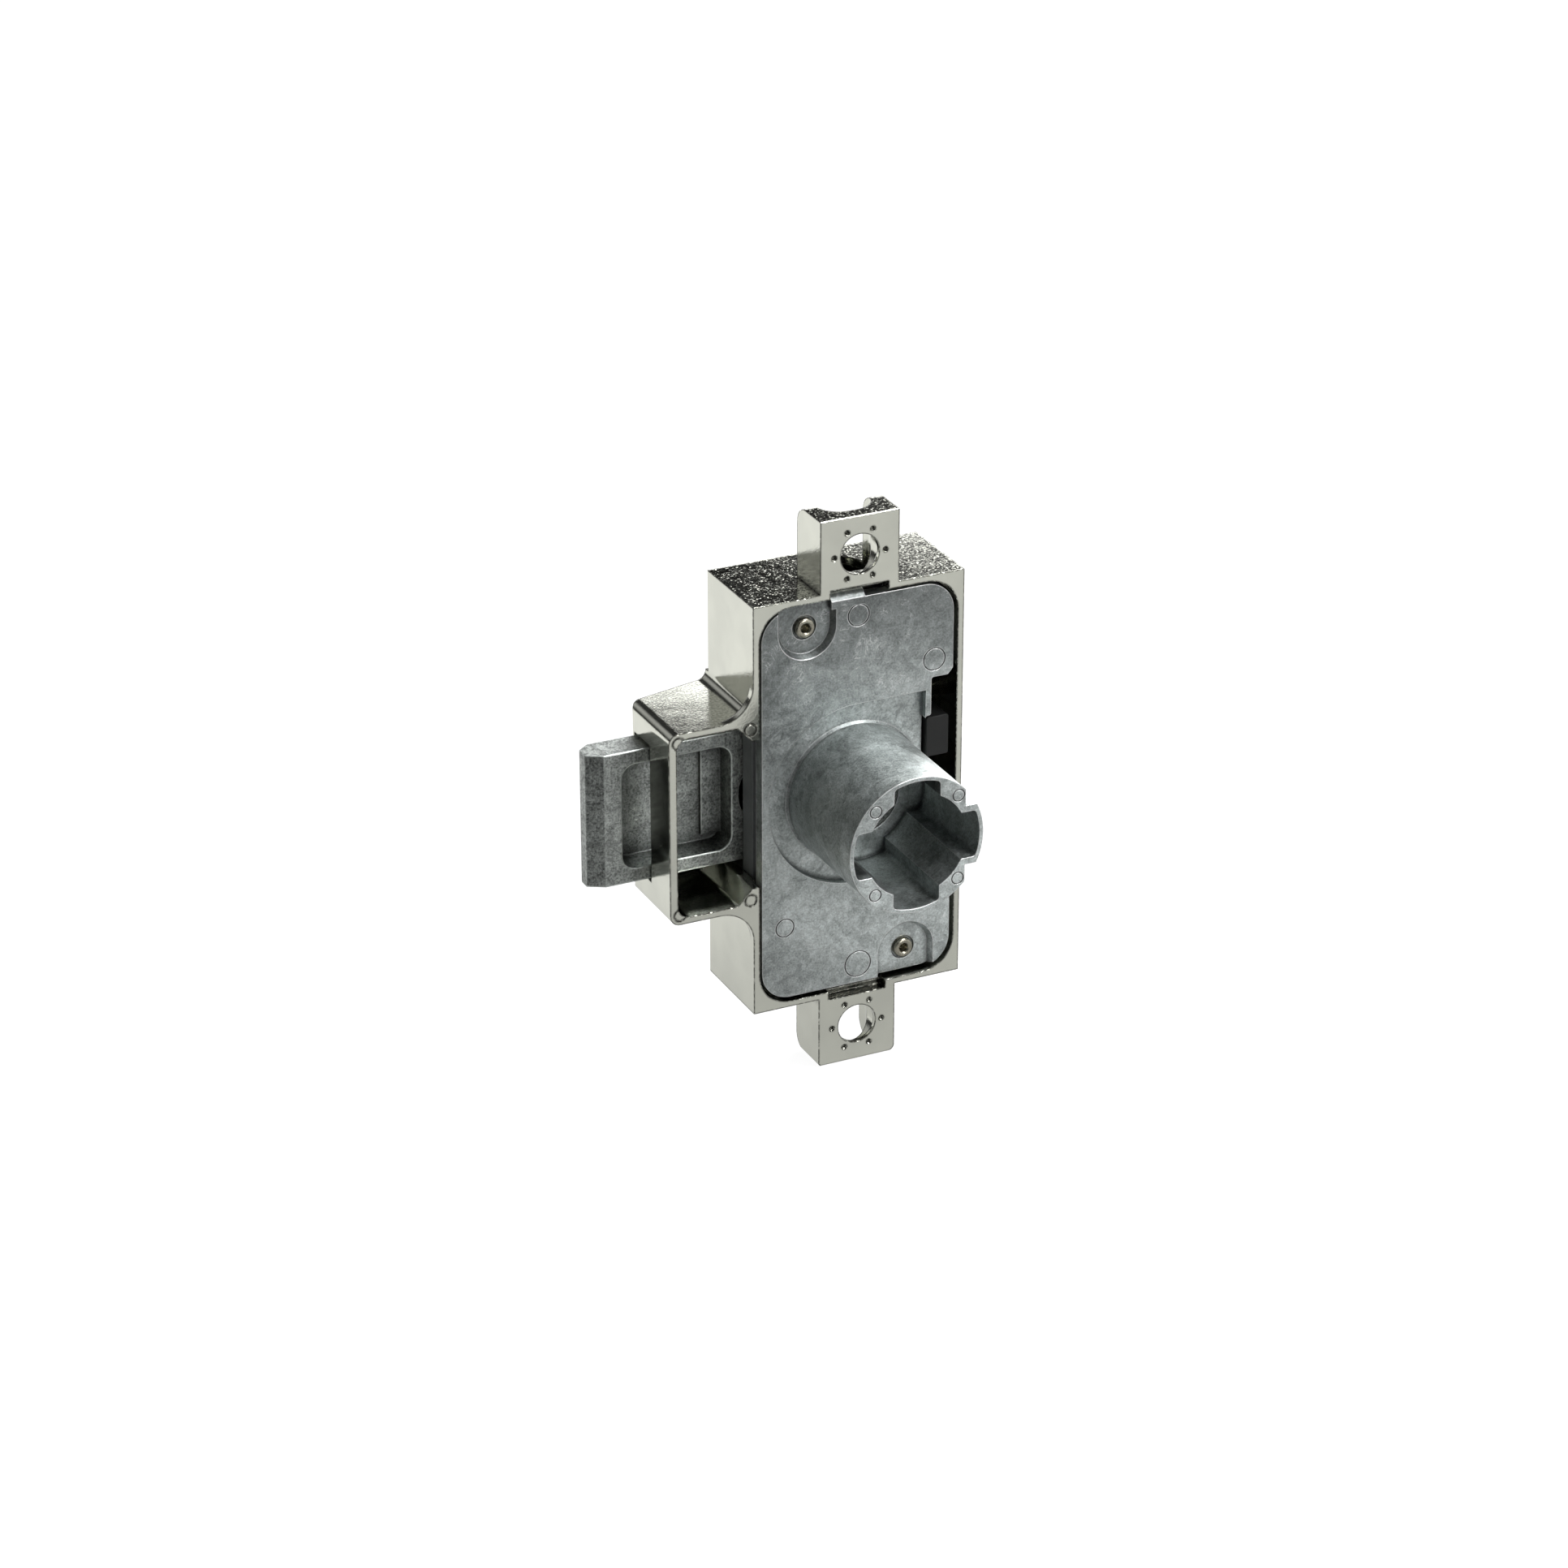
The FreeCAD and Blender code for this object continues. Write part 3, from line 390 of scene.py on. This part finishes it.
def nickel():
    """Bright nickel plate, smooth and wavy, with broken lines of painted dark reflection on its edges,
    painted shade in its inside corners and a grainy skin on top.
    """
    material, tree, shader = new_material("nickel_plate")
    where = place_of(tree)
    soft = rounded_edges(tree, nickel_edge_radius)
    painted_skin_and_notch, frost = top_skin(tree, where)
    # Broken lines of painted dark reflection along the edges
    speck = noise(tree, where, nickel_speck_size, detail=3.0, roughness=0.6)
    broken = remap(tree, speck, reads=nickel_line_gaps, gives=(1.0, nickel_line_gap_share))
    line = product(tree, edge_mask(tree, soft), broken)
    # Painted shade in inside corners
    corners = corner_shade_mask(tree, nickel_corner_reach, nickel_corner_opening)
    # All painted darkness: edge reflection lines, corner shade, flecks on top and shade in the notch
    painted_darkness = highest(tree, line, product(tree, corners, nickel_corner_share), painted_skin_and_notch)
    cloud = noise(tree, where, nickel_cloud_size, detail=3.0, roughness=0.5)
    tone = blend_colours(tree, remap(tree, cloud, reads=noise_clear), nickel_light, nickel_warm)
    tree.links.new(blend_colours(tree, painted_darkness, tone, nickel_painted_dark), shader.inputs["Base Color"])
    stain = noise(tree, where, nickel_stain_size, detail=5.0, roughness=0.6)
    shine = remap(tree, stain, reads=noise_wide, gives=nickel_rough)
    rough = highest(tree, shine, product(tree, line, nickel_line_rough), frost)
    tree.links.new(rough, shader.inputs["Roughness"])
    wave = noise(tree, where, nickel_wave_size, detail=2.0, roughness=0.4)
    grain = noise(tree, where, nickel_grain_size, detail=3.0, roughness=0.65)
    normal = bump(tree, grain, nickel_grain_depth, bump(tree, wave, nickel_wave_depth, soft))
    tree.links.new(normal, shader.inputs["Normal"])
    shader.inputs["Metallic"].default_value = 1.0
    return material


def painted_cover_light(tree, where):
    """Painted light: 1 low on the cover's right, and less away from there."""
    radius = distance_seen_from_front(tree, where, cover_bright_side, cover_bright_height)
    return remap(tree, radius, reads=cover_fade, gives=(1.0, cover_fade_share))


def bore_shade_mask(tree, where):
    """Painted shade: near 1 inside the sleeve, strongest up on the left, and 0 from its mouth outwards."""
    across, along, up = axes(tree, where)
    radius = distance_seen_from_front(tree, where)
    within = remap(tree, radius, reads=(bore_radius, bore_radius + bore_rim), gives=full_to_none)
    deep = remap(tree, along, reads=(bore_mouth, bore_mouth + bore_mouth_depth))
    share = remap(tree, combine(tree, "SUBTRACT", up, across), reads=bore_slope, gives=bore_share)
    return product(tree, within, deep, share)


def zinc_tone(tree, light, dark, flow, mottle, grain, grain_share):
    """The mottled ground colour; the fine grain has its own share in it."""
    coarse = product(tree, total(tree, flow, mottle), 0.5)
    mixed = total(tree, product(tree, coarse, 1.0 - grain_share), product(tree, grain, grain_share))
    return blend_colours(tree, remap(tree, mixed, reads=noise_sharp), dark, light)


def raw_zinc(name, light, dark, rough, grain_share, grain_size, grain_depth, corner_reach, corner_opening,
             edge_radius, edge_shine, is_cover=False):
    """A raw zinc casting: mottled and grainy, with streaks, pits, painted shade in its inside corners and
    painted highlights along its edges.
    """
    material, tree, shader = new_material(name)
    where = place_of(tree)
    soft = rounded_edges(tree, edge_radius)
    # Painted shade in inside corners
    corners = corner_shade_mask(tree, corner_reach, corner_opening)
    flow = noise(tree, where, zinc_flow_size, detail=5.0, roughness=0.6, distortion=1.0)
    mottle = noise(tree, where, zinc_mottle_size, detail=4.0, roughness=0.65, distortion=0.7)
    grain = noise(tree, where, grain_size, detail=2.0, roughness=0.7)
    vein = noise(tree, where, zinc_vein_size, detail=4.0, roughness=0.6, distortion=1.6)
    colour = zinc_tone(tree, light, dark, flow, mottle, grain, grain_share)
    # On the cover, painted light fades the colour away from its lower right
    if is_cover:
        colour = times(tree, colour, painted_cover_light(tree, where))
    from_vein = combine(tree, "ABSOLUTE", combine(tree, "SUBTRACT", vein, noise_middle), 0.0)
    ridge = remap(tree, from_vein, reads=(0.0, zinc_streak_width), gives=full_to_none)
    streak = product(tree, ridge, remap(tree, flow, reads=zinc_streak_flow, gives=(0.0, zinc_streak_share)))
    # Painted highlights along the open edges, joined with the lighter streaks
    open_edges = product(tree, edge_mask(tree, soft), combine(tree, "SUBTRACT", 1.0, corners))
    brightened = highest(tree, product(tree, open_edges, zinc_edge_share), streak)
    colour = blend_colours(tree, brightened, colour, scaled(light, edge_shine))
    # Pits and smears are stains; the corner part is painted shade
    pits = remap(tree, cells(tree, where, zinc_pit_size), reads=zinc_pit_rim, gives=(zinc_pit_share, 0.0))
    smear = product(tree, remap(tree, vein, reads=zinc_smear_veins, gives=(0.0, zinc_smear_share)),
                    remap(tree, mottle, reads=noise_sharp, gives=(zinc_smear_least, 1.0)))
    stains_and_corner_shade = highest(tree, pits, product(tree, corners, zinc_corner_share), smear)
    colour = blend_colours(tree, stains_and_corner_shade, colour, scaled(dark, zinc_stain_and_shade_darkness))
    # On the cover, painted shade darkens the inside of the sleeve's bore
    if is_cover:
        colour = blend_colours(tree, bore_shade_mask(tree, where), colour, bore_shade_colour)
    tree.links.new(colour, shader.inputs["Base Color"])
    tree.links.new(remap(tree, mottle, reads=noise_wide, gives=rough), shader.inputs["Roughness"])
    normal = bump(tree, grain, grain_depth, bump(tree, mottle, zinc_mottle_depth, soft))
    tree.links.new(normal, shader.inputs["Normal"])
    shader.inputs["Metallic"].default_value = zinc_metal
    return material


def turned_steel(name, colour, rough):
    """Machined steel: rubbed and finely scratched, with painted highlights along its edges."""
    material, tree, shader = new_material(name)
    where = place_of(tree)
    soft = rounded_edges(tree, steel_edge_radius)
    rub = noise(tree, where, steel_rub_size, detail=4.0, roughness=0.6)
    cleaned = remap(tree, rub, reads=noise_clear)
    tone = blend_colours(tree, cleaned, scaled(colour, steel_rub_darkness), colour)
    # Painted highlight along the edges
    edges = product(tree, edge_mask(tree, soft), steel_edge_share)
    brightened = blend_colours(tree, edges, tone, scaled(colour, steel_edge_shine))
    tree.links.new(brightened, shader.inputs["Base Color"])
    spread = tuple(rough * share for share in steel_rough_spread)
    tree.links.new(remap(tree, rub, reads=noise_wide, gives=spread), shader.inputs["Roughness"])
    scratch = noise(tree, where, steel_scratch_size, detail=3.0, roughness=0.7)
    tree.links.new(bump(tree, scratch, steel_scratch_depth, soft), shader.inputs["Normal"])
    shader.inputs["Metallic"].default_value = 1.0
    return material


def moulded(name, colour, rough):
    """Moulded engineering plastic: even, with a fine grain and painted highlights along its edges."""
    material, tree, shader = new_material(name)
    where = place_of(tree)
    soft = rounded_edges(tree, plastic_edge_radius)
    cloud = noise(tree, where, plastic_cloud_size, detail=4.0, roughness=0.6)
    cloudy = remap(tree, cloud, reads=noise_clear)
    tone = blend_colours(tree, cloudy, scaled(colour, plastic_cloud_darkness), colour)
    # Painted highlight along the edges
    edges = product(tree, edge_mask(tree, soft), plastic_edge_share)
    edge_highlighted = blend_colours(tree, edges, tone, scaled(colour, plastic_edge_shine))
    tree.links.new(edge_highlighted, shader.inputs["Base Color"])
    grain = noise(tree, where, plastic_grain_size, detail=3.0, roughness=0.6)
    spread = tuple(rough * share for share in plastic_rough_spread)
    tree.links.new(remap(tree, grain, reads=noise_wide, gives=spread), shader.inputs["Roughness"])
    tree.links.new(bump(tree, grain, plastic_grain_depth, soft), shader.inputs["Normal"])
    shader.inputs["Specular IOR Level"].default_value = plastic_gloss
    return material


def dress(names, material):
    """Gives CAD nodes a finished material."""
    for name in names:
        mesh = nodes[name].data
        mesh.materials.clear()
        mesh.materials.append(material)


dress(["case"], nickel())
dress(["cover_plate"],
      raw_zinc("raw_zinc_cover", light=(0.72, 0.774, 0.766), dark=(0.33, 0.357, 0.352), rough=(0.36, 0.54),
               grain_share=0.35, grain_size=0.25 * mm, grain_depth=0.020 * mm,
               corner_reach=0.7 * mm, corner_opening=(0.55, 0.97), edge_radius=0.18 * mm, edge_shine=1.6,
               is_cover=True))
# The bolt's long corner reach paints shade across the floor of its pocket
dress(["deadbolt", "drive_pinion"],
      raw_zinc("raw_zinc_bolt", light=(0.47, 0.498, 0.479), dark=(0.13, 0.138, 0.132), rough=(0.30, 0.46),
               grain_share=0.55, grain_size=0.30 * mm, grain_depth=0.060 * mm,
               corner_reach=3.0 * mm, corner_opening=(0.55, 0.98), edge_radius=0.32 * mm, edge_shine=2.0))
dress(["cover_rivets"], turned_steel("rivet_steel", colour=(0.44, 0.42, 0.345), rough=0.26))
dress(["stop_disc", "stop_pin", "bolt_guide_pin", "upper_rod_pin", "lower_rod_pin"],
      turned_steel("pin_steel", colour=(0.58, 0.58, 0.57), rough=0.34))
dress(["spring_washer", "detent_spring"], turned_steel("spring_steel", colour=(0.40, 0.41, 0.43), rough=0.28))
dress(["upper_rod_slide"], moulded("black_plastic", colour=(0.008, 0.0085, 0.0085), rough=0.50))
dress(["lower_rod_slide"], moulded("grey_plastic", colour=(0.115, 0.124, 0.122), rough=0.50))
dress(["rear_bush"], moulded("pale_plastic", colour=(0.70, 0.69, 0.63), rough=0.45))


# Floor and light

def glow_of(tree, strength, colour=plain_white):
    """A shader that glows; its strength is a number or a socket."""
    node = tree.nodes.new("ShaderNodeEmission")
    feed(tree, node.inputs["Color"], colour)
    feed(tree, node.inputs["Strength"], strength)
    return node.outputs["Emission"]


def floor_shader(tree):
    """White to the camera with a soft shadow; to reflections a glow of painted light with a painted shadow
    near the lock; plain grey to the rest.
    """
    where = place_of(tree)
    across, along = axes(tree, where)[:2]
    by_side = remap(tree, along, reads=floor_front_to_back, gives=(floor_front_light, floor_back_light))
    # Painted shadow: the glow that reflections see dims near the lock
    near_lock_shadow = remap(tree, distance(tree, where), reads=floor_near_to_far, gives=(floor_near_share, 1.0))
    beside = remap(tree, across, reads=floor_corner_to_side, gives=(floor_corner_share, 1.0))
    behind = remap(tree, along, reads=floor_corner_to_back)
    mirrored = glow_of(tree, product(tree, by_side, near_lock_shadow, highest(tree, beside, behind)), floor_tint)
    diffuse = tree.nodes.new("ShaderNodeBsdfDiffuse")
    diffuse.inputs["Color"].default_value = floor_grey
    grey = diffuse.outputs["BSDF"]
    seen = blend_shaders(tree, floor_white_share, grey, glow_of(tree, floor_white))
    path = tree.nodes.new("ShaderNodeLightPath")
    shiny = highest(tree, path.outputs["Is Glossy Ray"], path.outputs["Is Transmission Ray"])
    plain = blend_shaders(tree, path.outputs["Is Camera Ray"], grey, seen)
    return blend_shaders(tree, shiny, plain, mirrored)


def make_floor():
    """A wide pale floor just under the lower lug."""
    level = cad_low.z - floor_gap
    corners = [(x * floor_half, y * floor_half, level) for x, y in ((-1, -1), (1, -1), (1, 1), (-1, 1))]
    mesh = bpy.data.meshes.new("floor")
    mesh.from_pydata(corners, [], [(0, 1, 2, 3)])
    floor = bpy.data.objects.new("floor", mesh)
    bpy.context.scene.collection.objects.link(floor)
    material = bpy.data.materials.new("floor_white")
    material.use_nodes = True
    tree = material.node_tree
    tree.nodes.clear()
    out = tree.nodes.new("ShaderNodeOutputMaterial")
    tree.links.new(floor_shader(tree), out.inputs["Surface"])
    mesh.materials.append(material)


def make_world():
    """White to the camera. To everything else a dark room that is bright low on the right."""
    world = bpy.data.worlds.new("studio")
    bpy.context.scene.world = world
    world.use_nodes = True
    tree = world.node_tree
    tree.nodes.clear()
    direction = tree.nodes.new("ShaderNodeTexCoord").outputs["Generated"]
    right, back, up = axes(tree, direction)
    side = product(tree, remap(tree, right, reads=side_is_right), remap(tree, up, reads=side_is_low),
                   side_light)
    rear = product(tree, remap(tree, right, reads=rear_is_left), remap(tree, up, reads=rear_is_raised),
                   remap(tree, back, reads=rear_is_behind, gives=(0.0, rear_light)))
    above = remap(tree, up, reads=ceiling_is_above, gives=(room_light, ceiling_light))
    front = remap(tree, back, reads=front_is_before, gives=(0.0, front_light))
    studio = tree.nodes.new("ShaderNodeBackground")
    tree.links.new(total(tree, side, rear, above, front), studio.inputs["Strength"])
    white = tree.nodes.new("ShaderNodeBackground")
    white.inputs["Color"].default_value = plain_white
    path = tree.nodes.new("ShaderNodeLightPath")
    shown = blend_shaders(tree, path.outputs["Is Camera Ray"], studio.outputs["Background"],
                          white.outputs["Background"])
    out = tree.nodes.new("ShaderNodeOutputWorld")
    tree.links.new(shown, out.inputs["Surface"])


def soft_box(name, place, size, power, target=origin, roll=0.0):
    """A flat lamp of this width and height in metres, aimed at a point and rolled by some degrees."""
    lamp = bpy.data.lights.new(name, "AREA")
    lamp.shape = "RECTANGLE"
    lamp.size, lamp.size_y = size
    lamp.energy = power
    box = bpy.data.objects.new(name, lamp)
    bpy.context.scene.collection.objects.link(box)
    box.location = place
    box.visible_camera = False
    aim = (Vector(target) - Vector(place)).to_track_quat("-Z", "Y")
    box.rotation_euler = (aim @ Quaternion((0.0, 0.0, 1.0), math.radians(roll))).to_euler()


def make_camera():
    """The camera of the photo, without a shifted lens."""
    camera = bpy.data.cameras.new("camera")
    camera.sensor_width = sensor_width
    camera.lens = focal_length_pixels / picture_width_pixels * sensor_width
    camera.clip_start = camera_sees_from
    camera.clip_end = camera_sees_to
    holder = bpy.data.objects.new("camera", camera)
    bpy.context.scene.collection.objects.link(holder)
    holder.location = camera_place
    holder.rotation_euler = (math.pi / 2 - camera_tilt, 0.0, -camera_turn)
    bpy.context.scene.camera = holder


make_floor()
make_world()
soft_box("key_box", place=(0.31, -0.36, 0.68), size=(0.24, 0.24), power=4.8)
soft_box("top_box", place=(0.22, 0.10, 0.70), size=(0.30, 0.30), power=3.6)
soft_box("back_band", place=(0.018, 0.080, 0.0415), size=(0.084, 0.014), power=0.0092,
         target=(0.018, 0.0, 0.0415), roll=-16.7)
soft_box("side_card", place=(0.104, 0.080, 0.029), size=(0.095, 0.066), power=0.055,
         target=(0.104, 0.0, 0.029))
soft_box("front_box", place=(0.13, -0.52, 0.16), size=(0.16, 0.16), power=0.90)
soft_box("back_box", place=(0.34, 0.33, 0.34), size=(0.20, 0.20), power=2.2)
make_camera()
bpy.context.scene.view_settings.view_transform = "Standard"
